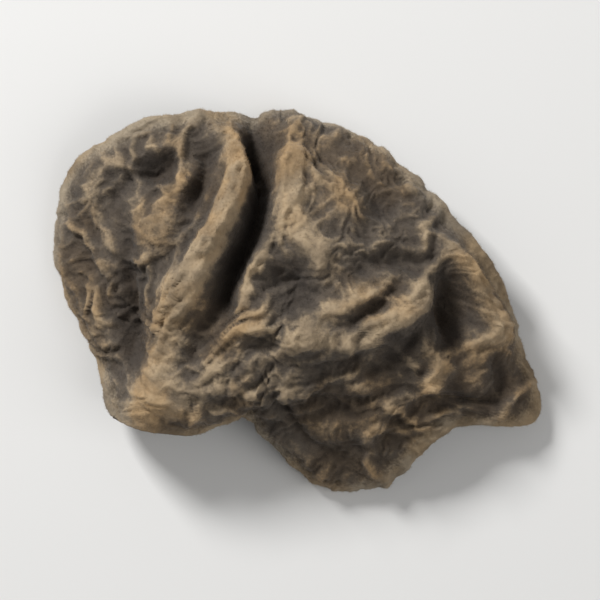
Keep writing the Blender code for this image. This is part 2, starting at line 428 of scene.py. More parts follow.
    def bend(self, angle: Array) -> Array:
        """How sharply the margin bends, in radians per millimetre: positive down, negative up, not nought."""
        bend = np.radians(self.curl.at(angle)) / self.curl_run
        return np.where(np.abs(bend) < self.least_bend, self.least_bend, bend)

    def flat_run(self, angle: Array) -> Array:
        """The sheet's run from its middle to where it starts to curl: its reach, less what the curl adds.

        Args:
            angle: Bearings from +X, in radians.

        Returns:
            The length of the run.
        """
        bend = np.abs(self.bend(angle))
        curl_reach = np.sin(np.minimum(bend * self.curl_run, math.pi / 2)) / bend
        return self.outline(angle) - self.wall / 2 - curl_reach

    def full_run(self, angle: Array) -> Array:
        """The sheet's run from its middle to its edge."""
        return self.flat_run(angle) + self.curl_run

    def neck_share(self, x: Array, y: Array) -> Array:
        """1 at the neck, falling to 0 a few millimetres away from it as a bell."""
        away = np.hypot(x - self.neck_at[0], y - self.neck_at[1])
        return np.exp(-((away / self.neck_spread) ** 2))

    def inset(self, x: Array, y: Array) -> Array:
        """How far a place is from the sheet's edge, along the line from its middle."""
        return self.full_run(np.arctan2(y, x)) - np.hypot(x, y)

    def cap(self, x: Array, y: Array) -> Array:
        """The cap without its folds, as stacked x, y and z.

        A place's distance out is kept as far as the curl starts, and then follows the sine of the angle
        turned. Its height is that of a bowl turned over, plus the margin's lift, less the curl's one minus
        cosine. The bowl's reach is the calm one in the middle and becomes the outline by the share's square.

        Args:
            x: Places across the sheet.
            y: Places up the sheet.

        Returns:
            The three coordinates, stacked along the first axis.
        """
        angle = np.arctan2(y, x)
        out = np.hypot(x, y)
        bend = self.bend(angle)
        straight = self.flat_run(angle)
        turned = np.clip(out - straight, 0, None) * bend
        plan = np.minimum(out, straight) + np.sin(turned) / bend
        outline = self.outline(angle)
        calm = self.calm_reach.at(angle)
        share = plan / (calm + (outline - calm) * np.clip(plan / outline, 0, 1) ** 2)
        rise = self.rise * (1 - share**2) * (1 - self.lean * x / self.lean_reach)
        lift = self.lift.at(angle) * share**3
        drop = (1 - np.cos(turned)) / bend
        return np.stack([plan * np.cos(angle), plan * np.sin(angle), rise + lift - drop])

    def relief(self, x: Array, y: Array) -> Array:
        """The sum of the folds, humps and marginal gutter, which die out over the curl of the margin.

        Args:
            x: Places across the sheet.
            y: Places up the sheet.

        Returns:
            The height along the cap's normal.
        """
        height = sum(shape.rise(x, y) for shape in (*self.folds, *self.humps))
        neck = self.neck_share(x, y)
        inset = self.inset(x, y)
        kept = self.edge_keep + (1 - self.edge_keep) * smooth_step((inset - self.edge_fade) / self.curl_run)
        height *= np.maximum(kept, neck)
        gutter = np.exp(-(((inset - self.gutter_inset) / self.gutter_width) ** 2))
        return height - self.gutter_depth * gutter * (1 - neck)


@dataclass(frozen=True)
class Wrinkles:
    """The fine shrinkage wrinkles: some fan out from the neck, and some run together as a net of veins."""

    form: CapForm
    fan_depth: float = 0.30
    fan_width: float = 0.32
    fan_cells: Pair = (4.5, 6.5)
    fine_fan_cells: Pair = (9, 4)
    fine_fan_share: float = 0.35
    fan_start: float = 1
    fan_fade: float = 6
    net_depth: float = 0.26
    net_width: float = 0.26
    net_cell: float = 2.0
    small_depth: float = 0.11
    small_width: float = 0.12
    small_cell: float = 0.85
    tiny_depth: float = 0.04
    tiny_cell: float = 0.33
    push: Pair = (0.8, 2.4)
    jolt: Pair = (0.15, 0.7)
    patch_cell: float = 5
    patch_share: float = 0.45
    slide: Pair = (0.35, -0.3)
    settle: float = 0.18
    edge_share: float = 0.35
    edge_run: float = 1.6
    under_share: float = 0.4
    branch_turn: float = math.radians(50)

    def fan(self, x: Array, y: Array) -> tuple[Array, Array]:
        """Bearing round the neck and distance from it, which is the way that the tissue grew.

        Args:
            x: Places across the sheet.
            y: Places up the sheet.

        Returns:
            The bearing, in radians, and the distance.
        """
        dx, dy = x - self.form.neck_at[0], y - self.form.neck_at[1]
        c, s = math.cos(self.branch_turn), math.sin(self.branch_turn)
        return np.arctan2(c * dy - s * dx, c * dx + s * dy), np.hypot(dx, dy)

    def pushed(self, x: Array, y: Array) -> tuple[Array, Array]:
        """Places pushed about by a slow and a quick noise, so that no two crests run alike.

        Args:
            x: Places across the sheet.
            y: Places up the sheet.

        Returns:
            The pushed x and y.
        """
        push, slow = self.push
        jolt, quick = self.jolt
        push_x = x + push * relief(Seed.PUSH_X, x, y, slow) + jolt * relief(Seed.JOLT_X, x, y, quick)
        push_y = y + push * relief(Seed.PUSH_Y, x, y, slow) + jolt * relief(Seed.JOLT_Y, x, y, quick)
        return push_x, push_y

    def fans(self, x: Array, y: Array) -> Array:
        """The shape whose nought lines are the crests that fan out from the neck.

        Args:
            x: Places across the sheet.
            y: Places up the sheet.

        Returns:
            The shape's value.
        """
        round_neck, from_neck = self.fan(*self.pushed(x, y))
        count, run = self.fan_cells
        fine_count, fine_run = self.fine_fan_cells
        fine = Noise(Seed.FINE_FANS)(round_neck * fine_count, from_neck / fine_run)
        return Noise(Seed.FANS)(round_neck * count, from_neck / run) + self.fine_fan_share * fine

    def net(self, x: Array, y: Array) -> Array:
        """The shape whose nought lines are the net of veins."""
        return relief(Seed.NET, *self.pushed(x, y), self.net_cell)

    def small(self, x: Array, y: Array) -> Array:
        """The shape whose nought lines are the small veins."""
        return relief(Seed.SMALL, *self.pushed(x, y), self.small_cell)

    def rise(self, x: Array, y: Array, side: Side) -> Array:
        """The sum of the cords of each kind on one skin, less what keeps its mean near nought.

        On the flanks of the folds the cords slide sideways, the fans one way and the net the other.

        Args:
            x: Places across the sheet.
            y: Places up the sheet.
            side: The skin that the wrinkles are on.

        Returns:
            The height at each place.
        """
        edge = smooth_step(self.form.inset(x, y) / self.edge_run)
        from_neck = self.fan(x, y)[1]
        folds = self.form.relief(x, y)
        patches = 1 + self.patch_share * (relief(Seed.PATCHES, x, y, self.patch_cell) - 1)
        slide_x, slide_y = self.slide[0] * folds, self.slide[1] * folds
        one_way, other_way = (x + slide_x, y + slide_y), (x - slide_x, y - slide_y)
        away_from_neck = smooth_step((from_neck - self.fan_start) / self.fan_fade)
        height = self.fan_depth * cords(self.fans, *one_way, self.fan_width) * away_from_neck
        height += self.net_depth * cords(self.net, *other_way, self.net_width) * patches
        height += self.small_depth * cords(self.small, *other_way, self.small_width)
        height += self.tiny_depth * relief(Seed.TINY, *one_way, self.tiny_cell)
        height = (height - self.settle) * (self.edge_share + (1 - self.edge_share) * edge)
        return height if side is Side.BACK else height * self.under_share


@dataclass
class FruitBody:
    """The whole ear as one closed surface, and the attributes that its finishes read."""

    form: CapForm = field(default_factory=CapForm)
    cells: int = 208
    nose_rows: int = 9
    neck_wall: float = 2.8
    edge_wall: float = 0.5
    edge_run: float = 2.2
    most_thickening: float = 1.6
    floor_softness: float = 0.05
    set_down: float = -0.62
    box_middle: Pair = (0.23, -0.77)
    cut_at: Triple = (-8.7, -8.0, 3.0)
    cut_facing: Triple = (-0.22, -0.96, -0.16)
    cut_reach: float = 4.0
    cut_roughness: float = 0.11
    cut_rounding: float = 0.3
    fibre_size: Pair = (0.25, 0.6)
    outward_step: float = 0.05
    crest_blur: float = 3
    swell_blur: float = 20
    under_from: float = 0.6
    map_height: Pair = (0.01, 0.98)
    back_map: Pair = (0.005, 0.445)
    nose_map: Pair = (0.46, 0.08)
    under_map: Pair = (0.55, 0.445)

    def __post_init__(self) -> None:
        """Lays the fine wrinkles over the form's folds."""
        self.wrinkles = Wrinkles(self.form)

    def square(self, low: float) -> tuple[Array, Array]:
        """The two parameters of a square net from low to 1, one vertex after another."""
        side = np.linspace(low, 1, self.cells + 1)
        return tuple(net.ravel() for net in np.meshgrid(side, side, indexing="ij"))

    def spread(self, a: Array, b: Array) -> tuple[Array, Array]:
        """A square net stretched to the sheet: by an oval map to a disc, then out to the sheet's edge.

        Args:
            a: The net's first parameter, from -1 to 1.
            b: The net's second parameter, from -1 to 1.

        Returns:
            x and y on the sheet.
        """
        u, v = a * np.sqrt(1 - b**2 / 2), b * np.sqrt(1 - a**2 / 2)
        angle = np.arctan2(v, u)
        out = np.hypot(u, v) * (self.form.full_run(angle) - self.edge_wall / 2)
        return out * np.cos(angle), out * np.sin(angle)

    def half_wall(self, x: Array, y: Array) -> Array:
        """Half the wall: thicker on steep folds, as it is laid off along the cap's normal, and at the neck.

        Args:
            x: Places across the sheet.
            y: Places up the sheet.

        Returns:
            Half the thickness at each place.
        """
        steepness = np.hypot(*slopes(self.form.relief, x, y))
        thicker = np.minimum(np.hypot(1, steepness), self.most_thickening)
        neck = self.form.neck_share(x, y)
        edge = smooth_step(self.form.inset(x, y) / self.edge_run)
        wall = self.edge_wall + (self.form.wall - self.edge_wall) * edge
        return (wall * thicker * (1 - neck) + self.neck_wall * neck) / 2

    def normal(self, x: Array, y: Array) -> Array:
        """The smooth cap's unit normal."""
        normal = np.cross(*slopes(self.form.cap, x, y), axis=0)
        return normal / np.linalg.norm(normal, axis=0)

    def lay(self, x: Array, y: Array, turn: Array) -> Array:
        """The surface at a place on the sheet and a turn, which is 0 on the back and pi on the under.

        Both skins are at the cap plus its normal times the relief and half the wall. Between them, past the
        edge, the nose is half an ellipse: the cosine of the turn along the normal and its sine outwards.

        Args:
            x: Places across the sheet.
            y: Places up the sheet.
            turn: The angle round the nose, in radians.

        Returns:
            The three coordinates, stacked along the first axis.
        """
        normal = self.normal(x, y)
        half = self.half_wall(x, y)
        folds = self.form.relief(x, y)
        back = folds + half + self.wrinkles.rise(x, y, Side.BACK)
        under = folds - half - self.wrinkles.rise(x, y, Side.UNDER)
        middle, reach = (back + under) / 2, (back - under) / 2
        inwards = self.outward_step / np.maximum(np.hypot(x, y), self.outward_step)
        cap = self.form.cap(x, y)
        outwards = cap - self.form.cap(x * (1 - inwards), y * (1 - inwards))
        outwards /= np.maximum(np.linalg.norm(outwards, axis=0), NEARLY_NOUGHT)
        points = cap + normal * (middle + reach * np.cos(turn)) + outwards * reach * np.sin(turn)
        points[2] = self.floor_softness * np.logaddexp(0, (points[2] - self.set_down) / self.floor_softness)
        return points

    def cut(self, points: Array) -> tuple[Array, Array]:
        """Presses what lies past the neck's cut onto it, where torn fibres leave it a little rough.

        Args:
            points: The three coordinates, stacked along the first axis.

        Returns:
            The points, and for each how far past the cut it lay, negative on the side that stays.
        """
        facing = np.array(self.cut_facing) / np.linalg.norm(self.cut_facing)
        offset = points.T - np.array(self.cut_at)
        near = np.linalg.norm(offset, axis=1) < self.cut_reach
        past = np.where(near, offset @ facing, -self.cut_reach)
        along = np.cross(facing, (0, 0, 1))
        fibres = Noise(Seed.FIBRES)(offset @ along / self.fibre_size[0], offset[:, 2] / self.fibre_size[1])
        rough = self.cut_roughness * smooth_step(past / self.cut_rounding) * (1 + fibres)
        pressed = np.clip(past, 0, None) + rough
        return points - np.outer(facing, pressed), past

    def rows(self) -> tuple[Array, Array, Array]:
        """Places and turns of every vertex: the back's net, the nose's rows, then the under's net.

        Returns:
            x, y and turn, each as one flat array.
        """
        x, y = self.spread(*self.square(-1))
        loop = self.edge_loop()
        turns = np.linspace(0, math.pi, self.nose_rows + 2)[1:-1]
        nose_x, nose_y = np.tile(x[loop], self.nose_rows), np.tile(y[loop], self.nose_rows)
        every_x, every_y = np.concatenate([x, nose_x, x]), np.concatenate([y, nose_y, y])
        turn = np.concatenate([np.zeros(x.size), np.repeat(turns, loop.size), np.full(x.size, math.pi)])
        return every_x, every_y, turn

    def net(self) -> Array:
        """Indices of a net's vertices, row by row."""
        return np.arange((self.cells + 1) ** 2).reshape(self.cells + 1, -1)

    def edge_loop(self) -> Array:
        """Indices of the net's outer vertices, in order round its edge."""
        net = self.net()
        return np.concatenate([net[:-1, 0], net[-1, :-1], net[:0:-1, -1], net[0, :0:-1]])

    def quads(self) -> Array:
        """The faces, which all look outwards: the back, the under turned over, and the nose's bands.

        Returns:
            Four corner indices for each face.
        """
        net = self.net()
        back = np.stack([net[:-1, :-1], net[1:, :-1], net[1:, 1:], net[:-1, 1:]], axis=-1).reshape(-1, 4)
        loop = self.edge_loop()
        first_nose = net.size
        first_under = first_nose + self.nose_rows * loop.size
        nose = first_nose + np.arange(self.nose_rows * loop.size).reshape(self.nose_rows, -1)
        bands = np.vstack([loop, nose, loop + first_under])
        onward = np.roll(bands, -1, axis=1)
        band = np.stack([bands[:-1], bands[1:], onward[1:], onward[:-1]], axis=-1).reshape(-1, 4)
        return np.vstack([back, back[:, ::-1] + first_under, band])

    def lay_out_map(self, mesh: bpy.types.Mesh, quads: Array) -> None:
        """Lays out the UV map: the back's net at the left, the under's at the right, the nose's between.

        Args:
            mesh: The ear's mesh.
            quads: The corner indices of its faces.
        """
        a, b = self.square(0)
        around = 4 * self.cells
        up = self.map_height[0] + self.map_height[1] * b
        back = np.column_stack([self.back_map[0] + self.back_map[1] * a, up])
        under = np.column_stack([self.under_map[0] + self.under_map[1] * a, up])
        places = np.vstack([back, np.zeros((self.nose_rows * around, 2)), under])[quads]
        band = np.arange((self.nose_rows + 1) * around)
        row, column = band // around, band % around
        steps = np.array(((0, 0), (1, 0), (1, 1), (0, 1)))
        across = self.nose_map[0] + self.nose_map[1] * (row[:, None] + steps[:, 0]) / (self.nose_rows + 1)
        along = self.map_height[0] + self.map_height[1] * (column[:, None] + steps[:, 1]) / around
        places[-band.size :] = np.stack([across, along], axis=-1)
        layer = mesh.uv_layers.new(name=BAKE_MAP)
        layer.uv.foreach_set("vector", places.reshape(-1).astype(np.float32))

    def above_average(self, height: Array, blur: float) -> Array:
        """How far each vertex stands above the average around it, with the average as a bell over the net.

        Args:
            height: The height at every vertex, as rows() orders them.
            blur: The bell's width, in cells of the net.

        Returns:
            The difference, in the height's own unit.
        """
        count = self.cells + 1
        steps = np.arange(count)
        bell = np.exp(-0.5 * ((steps[:, None] - steps) / blur) ** 2)
        bell /= bell.sum(axis=1, keepdims=True)
        top = height[: count * count].reshape(count, count)
        over = (top - bell @ top @ bell.T).ravel()
        return np.concatenate([over, np.tile(over[self.edge_loop()], self.nose_rows), over])

    def build(self) -> bpy.types.Object:
        """Makes the ear's mesh, with its attributes and its faces' material slots.

        Returns:
            The ear's object.
        """
        x, y, turn = self.rows()
        points, past = self.cut(self.lay(x, y, turn))
        quads = self.quads()
        mesh = bpy.data.meshes.new("fruit_body_skin")
        placed = (points - np.reshape((*self.box_middle, 0), (3, 1))) * MM
        mesh.from_pydata(placed.T, [], quads)
        under_share = (1 - np.cos(turn)) / 2
        standing = self.form.relief(x, y) + self.wrinkles.rise(x, y, Side.BACK)
        # crest and swell are how far a place stands above the average round it, finely and broadly; the
        # finishes paint shade where they are low and a highlight where they are high.
        values = {
            "crest": self.above_average(standing, self.crest_blur),
            "swell": self.above_average(standing, self.swell_blur),
            "inset": self.form.inset(x, y),
            "neck": self.form.neck_share(x, y),
            "under": under_share,
            "cut": past,
        }
        for name in SKIN_VALUES:
            layer = mesh.attributes.new(name, "FLOAT", "POINT")
            layer.data.foreach_set("value", values[name].astype(np.float32))
        faces_under = under_share[quads].mean(axis=1) > self.under_from
        slots = np.where(faces_under, Finish.UNDER.value, Finish.BACK.value)
        mesh.polygons.foreach_set("material_index", slots.astype(np.int32))
        mesh.polygons.foreach_set("use_smooth", np.ones(len(quads), bool))
        self.lay_out_map(mesh, quads)
        mesh.update()
        ear = bpy.data.objects.new("fruit_body_skin", mesh)
        bpy.context.scene.collection.objects.link(ear)
        return ear


@dataclass(frozen=True)
class Down:
    """The short hairs of the felted back: closed three-sided spikes that lean away from the neck."""

    name: str
    seed: int
    hairs: int = 48000
    length: Pair = (0.06, 0.19)
    radius: float = 0.011
    sink: float = 0.02
    lean: Pair = (0.5, 1.6)
    whirl: float = 0.9
    slow_whirl: float = 1.2
    whirl_cell: float = 1.5
    askew: float = 0.3
    bare_from: float = 0.8
    lowest: float = 0.005
    map_range: Pair = (0.02, 0.96)
    neck_at: Pair = NECK_AT

    def roots(self, mesh: bpy.types.Mesh, draw: np.random.Generator) -> tuple[Array, Array]:
        """Draws the hairs' faces on the back and the margin by their area, and a place in each face.

        Args:
            mesh: The ear's mesh.
            draw: The source of random numbers.

        Returns:
            The corners of each hair's face, and each corner's share in the hair's root.
        """
        under = self.read(mesh.attributes["under"].data, "value", 1)[:, 0]
        past = self.read(mesh.attributes["cut"].data, "value", 1)[:, 0]
        quads = self.read(mesh.polygons, "vertices", 4).astype(int)
        area = self.read(mesh.polygons, "area", 1)[:, 0]
        area *= (under[quads].mean(axis=1) < self.bare_from) & (past[quads].max(axis=1) < 0)
        chosen = quads[draw.choice(len(quads), self.hairs, p=area / area.sum())]
        s, t = draw.uniform(0, 1, (2, self.hairs))
        return chosen, np.stack([(1 - s) * (1 - t), s * (1 - t), s * t, (1 - s) * t], axis=1)

    def spikes(self, root: Array, normal: Array, draw: np.random.Generator) -> Array:
        """Grows a spike from each root: three corners round its foot, sunk into the skin, and its tip.

        It points along the normal plus its lean times the lay. The lay is the way from the neck, turned by
        a slow noise and by chance, and flattened onto the skin.

        Args:
            root: The place of each root.
            normal: The skin's unit normal at each root.
            draw: The source of random numbers.

        Returns:
            The four corners of each spike.
        """
        away = root[:, :2] - self.neck_at
        heading = np.arctan2(away[:, 1], away[:, 0]) + draw.normal(0, self.whirl, self.hairs)
        heading += self.slow_whirl * relief(Seed.WHIRL, root[:, 0], root[:, 1], self.whirl_cell)
        lay = np.column_stack([np.cos(heading), np.sin(heading), np.zeros(self.hairs)])
        lay -= normal * np.einsum("hk,hk->h", lay, normal)[:, None]
        lay /= np.linalg.norm(lay, axis=1, keepdims=True) + NEARLY_NOUGHT
        way = normal + lay * draw.uniform(*self.lean, self.hairs)[:, None]
        way /= np.linalg.norm(way, axis=1, keepdims=True)
        length = draw.uniform(*self.length, self.hairs)[:, None]
        side = np.cross(way, lay + self.askew)
        side /= np.linalg.norm(side, axis=1, keepdims=True)
        other = np.cross(way, side)
        base = root - normal * self.sink
        turns = np.radians((0, 120, 240))
        foot = [base + self.radius * (side * math.cos(turn) + other * math.sin(turn)) for turn in turns]
        spikes = np.stack([*foot, base + way * length], axis=1)
        spikes[..., 2] = np.maximum(spikes[..., 2], self.lowest)
        return spikes

    def mesh(self, root: Array, spikes: Array) -> bpy.types.Mesh:
        """Joins the spikes in one mesh, with a UV map that sets each at its root, seen from above.

        Args:
            root: The place of each root.
            spikes: The four corners of each spike.

        Returns:
            The mesh.
        """
        faces = np.arange(self.hairs)[:, None, None] * len(SPIKE_CORNERS) + np.array(SPIKE_FACES)
        mesh = bpy.data.meshes.new(self.name)
        mesh.from_pydata(spikes.reshape(-1, 3) * MM, [], faces.reshape(-1, 3))
        low, high = root[:, :2].min(axis=0), root[:, :2].max(axis=0)
        share = (root[:, None, :2] - low) / (high - low)
        places = self.map_range[0] + self.map_range[1] * share + np.array(SPIKE_CORNERS)
        layer = mesh.uv_layers.new(name=BAKE_MAP)
        layer.uv.foreach_set("vector", places[:, SPIKE_FACES].reshape(-1).astype(np.float32))
        return mesh

    def build(self, ear: bpy.types.Object) -> bpy.types.Object:
        """Plants the hairs on the ear's back and over its margin.

        Args:
            ear: The finished ear, whose faces, normals and attributes the hairs are planted by.

        Returns:
            The hairs as one mesh object.
        """
        draw = np.random.default_rng(self.seed)
        chosen, shares = self.roots(ear.data, draw)

        def planted(items: bpy.types.bpy_prop_collection, name: str, width: int) -> Array:
            """A property of the ear's vertices, blended at each hair's root."""
            return np.einsum("hc,hck->hk", shares, self.read(items, name, width)[chosen])

        root = planted(ear.data.vertices, "co", 3) / MM
        normal = planted(ear.data.vertices, "normal", 3)
        normal /= np.linalg.norm(normal, axis=1, keepdims=True)
        down = self.mesh(root, self.spikes(root, normal, draw))
        # Each hair takes the skin's values at its root, so the felt's painted shade and highlight follow the
        # skin's hollows and ridges.
        for name in SKIN_VALUES:
            value = planted(ear.data.attributes[name].data, "value", 1)[:, 0]
            spread = np.repeat(value, len(SPIKE_CORNERS)).astype(np.float32)
            down.attributes.new(name, "FLOAT", "POINT").data.foreach_set("value", spread)
        down.update()
        felt = bpy.data.objects.new(self.name, down)
        bpy.context.scene.collection.objects.link(felt)
        return felt

    @staticmethod
    def read(items: bpy.types.bpy_prop_collection, name: str, width: int) -> Array:
        """Reads a property of every item.

        Args:
            items: The items, such as a mesh's vertices.
            name: The property's name.
            width: How many numbers it has.

        Returns:
            One row for each item.
        """
        values = np.empty(len(items) * width, np.float32)
        items.foreach_get(name, values)
        return values.reshape(-1, width).astype(float)


@dataclass(frozen=True)
class Nodes:
    """A short way to lay and link shader nodes in one tree."""

    tree: bpy.types.NodeTree

    def add(self, kind: str, inputs: dict | None = None, **settings: object) -> bpy.types.Node:
        """Adds a node.

        Args:
            kind: The node's type name, without its ShaderNode prefix.
            inputs: A value or an output socket for each input named or numbered.
            settings: Properties of the node itself.

        Returns:
            The node.
        """
        node = self.tree.nodes.new(f"ShaderNode{kind}")
        for name, value in settings.items():
            setattr(node, name, value)
        for name, value in (inputs or {}).items():
            if isinstance(value, Socket):
                self.tree.links.new(value, node.inputs[name])
            else:
                node.inputs[name].default_value = value
        return node

    def attribute(self, name: str) -> Socket:
        """The value of one of the mesh's own attributes."""
        return self.add("Attribute", attribute_name=name).outputs["Fac"]

    def fade(self, value: Socket, low: float, high: float) -> Socket:
        """0 where the value is low and 1 where it is high, smooth in between."""
        inputs = {"Value": value, "From Min": low, "From Max": high}
        return self.add("MapRange", inputs, interpolation_type="SMOOTHSTEP").outputs["Result"]

    def mix(self, share: object, low: object, high: object, mode: str = "MIX") -> Socket:
        """One colour laid over another by a share."""
        node = self.add("Mix", {0: share, 6: low, 7: high}, data_type="RGBA", blend_type=mode)
        return node.outputs[2]

    def math(self, how: str, first: object, second: object = 0.0) -> Socket:
        """Two values joined by a Math node."""
        return self.add("Math", {0: first, 1: second}, operation=how).outputs[0]

    def speckle(self, scale: float | Socket, detail: float, roughness: float) -> Socket:
        """Adds a noise on Object coordinates.

        Args:
            scale: Its features per metre.
            detail: How many finer noises are laid over it.
            roughness: How strong each is beside the one before.

        Returns:
            The noise, from 0 to 1.
        """
        place = self.add("TexCoord").outputs["Object"]
        inputs = {"Vector": place, "Scale": scale, "Detail": detail, "Roughness": roughness}
        return self.add("TexNoise", inputs).outputs["Fac"]


@dataclass(frozen=True)
class TissueGrain:
    """The grain that every dried surface shares: blotches, warmth, mottling, speckle and a bumped normal.

    The bump is a fine grain and creases, which lie where the mottling passes its middle value. Each noise is
    a scale, in features per metre, a detail and a roughness. The bump's distance is in metres.
    """

    grain_scale: float = 5000.0
    grain_detail: float = 5.0
    grain_roughness: float = 0.5
    strength: float = 0.4
    mottle: Triple = (1300, 5, 0.6)
    blotch: Triple = (600, 4, 0.55)
    blotch_range: Pair = (0.38, 0.64)
    warmth: Triple = (190, 4, 0.6)
    warmth_range: Pair = (0.42, 0.62)
    noise_middle: float = 0.5
    crease_height: float = 2.5
    grain_height: float = 0.4
    bump_distance: float = 0.00015

    def group(self) -> bpy.types.NodeTree:
        """Makes the node group, with the bump's strength and the grain's scale as its inputs.

        Returns:
            The node group.
        """
        group = bpy.data.node_groups.new("dried_tissue_grain", "ShaderNodeTree")
        for name, value in (("Grain Scale", self.grain_scale), ("Strength", self.strength)):
            socket = group.interface.new_socket(name, in_out="INPUT", socket_type="NodeSocketFloat")
            socket.default_value = value
        for name in ("Blotch", "Warmth", "Mottle", "Speckle"):
            group.interface.new_socket(name, in_out="OUTPUT", socket_type="NodeSocketFloat")
        group.interface.new_socket("Normal", in_out="OUTPUT", socket_type="NodeSocketVector")
        nodes = Nodes(group)
        given = group.nodes.new("NodeGroupInput").outputs
        grain = nodes.speckle(given["Grain Scale"], self.grain_detail, self.grain_roughness)
        mottle = nodes.math("SUBTRACT", nodes.speckle(*self.mottle), self.noise_middle)
        crease = nodes.math("MULTIPLY", nodes.math("ABSOLUTE", mottle), self.crease_height)
        height = nodes.math("ADD", crease, nodes.math("MULTIPLY", grain, self.grain_height))
        bump = {"Strength": given["Strength"], "Distance": self.bump_distance, "Height": height}
        outputs = {
            "Blotch": nodes.fade(nodes.speckle(*self.blotch), *self.blotch_range),
            "Warmth": nodes.fade(nodes.speckle(*self.warmth), *self.warmth_range),
            "Mottle": mottle,
            "Speckle": nodes.math("SUBTRACT", grain, self.noise_middle),
            "Normal": nodes.add("Bump", bump).outputs["Normal"],
        }
        given_out = group.nodes.new("NodeGroupOutput")
        for name, value in outputs.items():
            group.links.new(value, given_out.inputs[name])
        return group


@dataclass(frozen=True)
class TissueFinish:
    """A dried tissue finish: its colours from the recesses to the crests, and how it takes the light.

    Shares weigh what is added up, and each range is where a mask starts and where it is full. The colours
    from the recesses to the crests paint shade into the hollows and a highlight onto the ridges, where the
    paler worn felt lies too; blotches darken towards the same recess colour as the tissue's own uneven tone.
    """

    name: str
    shade_and_blotch: Colour
    ground: Colour
    crest: Colour
    margin: Colour
    roughness: float
    sheen: float
    coat: float
    grain_scale: float
    grain_strength: float
    roughness_change: float = 0.08
    coat_roughness: float = 0.4
    warm: Colour = (1.0, 0.89, 0.73, 1)
    torn: Colour = (0.25, 0.175, 0.11, 1)
    torn_deep: Colour = (0.15, 0.104, 0.065, 1)
    torn_rind: Colour = (0.075, 0.052, 0.035, 1)
    swell_share: float = 0.85
    crest_share: float = 1.7
    neck_share: float = 0.5
    mottle_share: float = 1.3
    speckle_share: float = 0.8
    blotch_share: float = 0.4
    ground_range: Pair = (-0.9, 0.05)
    crest_range: Pair = (-0.1, 0.9)
    margin_range: Pair = (1.35, 0.5)
    margin_blotch_range: Pair = (2.2, -0.3)
    margin_speckle: float = 2.0
    cut_range: Pair = (-0.06, 0.06)
    fibre_range: Pair = (-0.25, 0.2)
    rind_range: Pair = (0.7, 0.0)

    def standing(self, nodes: Nodes, mottle: Socket, speckle: Socket) -> Socket:
        """How light a place is painted: the sum of its swell, crest, neck and mottling, each by its share,
        which lays painted shade in the hollows and painted highlight on the ridges.

        Args:
            nodes: The material's tree.
            mottle: The grain's mottling.
            speckle: The grain's speckle, which is added too.

        Returns:
            The sum.
        """
        parts = (
            (nodes.attribute("swell"), self.swell_share),
            (nodes.attribute("crest"), self.crest_share),
            (nodes.attribute("neck"), self.neck_share),
            (mottle, self.mottle_share),
        )
        height = speckle
        for value, share in parts:
            height = nodes.math("ADD", height, nodes.math("MULTIPLY", value, share))
        return height

    def at_margin(self, nodes: Nodes, blotch: Socket, speckle: Socket) -> Socket:
        """1 along the margin, less in blotches, and with a speckled inner edge.

        Args:
            nodes: The material's tree.
            blotch: The grain's blotches.
            speckle: The grain's speckle.

        Returns:
            The margin's share.
        """
        ragged = nodes.math("MULTIPLY", speckle, self.margin_speckle)
        inset = nodes.math("ADD", nodes.attribute("inset"), ragged)
        left = nodes.fade(blotch, *self.margin_blotch_range)
        return nodes.math("MULTIPLY", nodes.fade(inset, *self.margin_range), left)

    def torn_face(self, nodes: Nodes, speckle: Socket) -> Socket:
        """The colour of the torn face at the neck's cut, with a darker rind round it."""
        fibres = nodes.mix(nodes.fade(speckle, *self.fibre_range), self.torn_deep, self.torn)
        return nodes.mix(nodes.fade(nodes.attribute("cut"), *self.rind_range), fibres, self.torn_rind)

    def material(self, grain: bpy.types.NodeTree) -> bpy.types.Material:
        """The finish as a material.

        Args:
            grain: The node group of the tissue's grain.

        Returns:
            The material.
        """
        material = bpy.data.materials.new(self.name)
        material.use_nodes = True
        nodes = Nodes(material.node_tree)
        shader = material.node_tree.nodes["Principled BSDF"]
        tissue = nodes.tree.nodes.new("ShaderNodeGroup")
        tissue.node_tree = grain
        tissue.inputs["Grain Scale"].default_value = self.grain_scale
        tissue.inputs["Strength"].default_value = self.grain_strength
        speckle = nodes.math("MULTIPLY", tissue.outputs["Speckle"], self.speckle_share)
        height = self.standing(nodes, tissue.outputs["Mottle"], speckle)
        # Painted shade and highlight: low places fade to the recess colour as painted shade, and high places
        # to the crest colour as painted highlight and the paler worn felt of the ridges.
        colour = nodes.mix(nodes.fade(height, *self.ground_range), self.shade_and_blotch, self.ground)
        colour = nodes.mix(nodes.fade(height, *self.crest_range), colour, self.crest)
        blotch = tissue.outputs["Blotch"]
        # Blotches darken towards the same recess colour: they are the tissue's own uneven tone, not shade.
        colour = nodes.mix(nodes.math("MULTIPLY", blotch, self.blotch_share), colour, self.shade_and_blotch)
        colour = nodes.mix(self.at_margin(nodes, blotch, speckle), colour, self.margin)
        colour = nodes.mix(tissue.outputs["Warmth"], colour, nodes.mix(1.0, colour, self.warm, "MULTIPLY"))
        cut = nodes.fade(nodes.attribute("cut"), *self.cut_range)
        colour = nodes.mix(cut, colour, self.torn_face(nodes, speckle))
        nodes.tree.links.new(colour, shader.inputs["Base Color"])
        nodes.tree.links.new(tissue.outputs["Normal"], shader.inputs["Normal"])
        rough = nodes.math("MULTIPLY", blotch, self.roughness_change)
        nodes.tree.links.new(nodes.math("ADD", rough, self.roughness), shader.inputs["Roughness"])
        shader.inputs["Sheen Weight"].default_value = self.sheen
        shader.inputs["Coat Weight"].default_value = self.coat
        shader.inputs["Coat Roughness"].default_value = self.coat_roughness
        return material


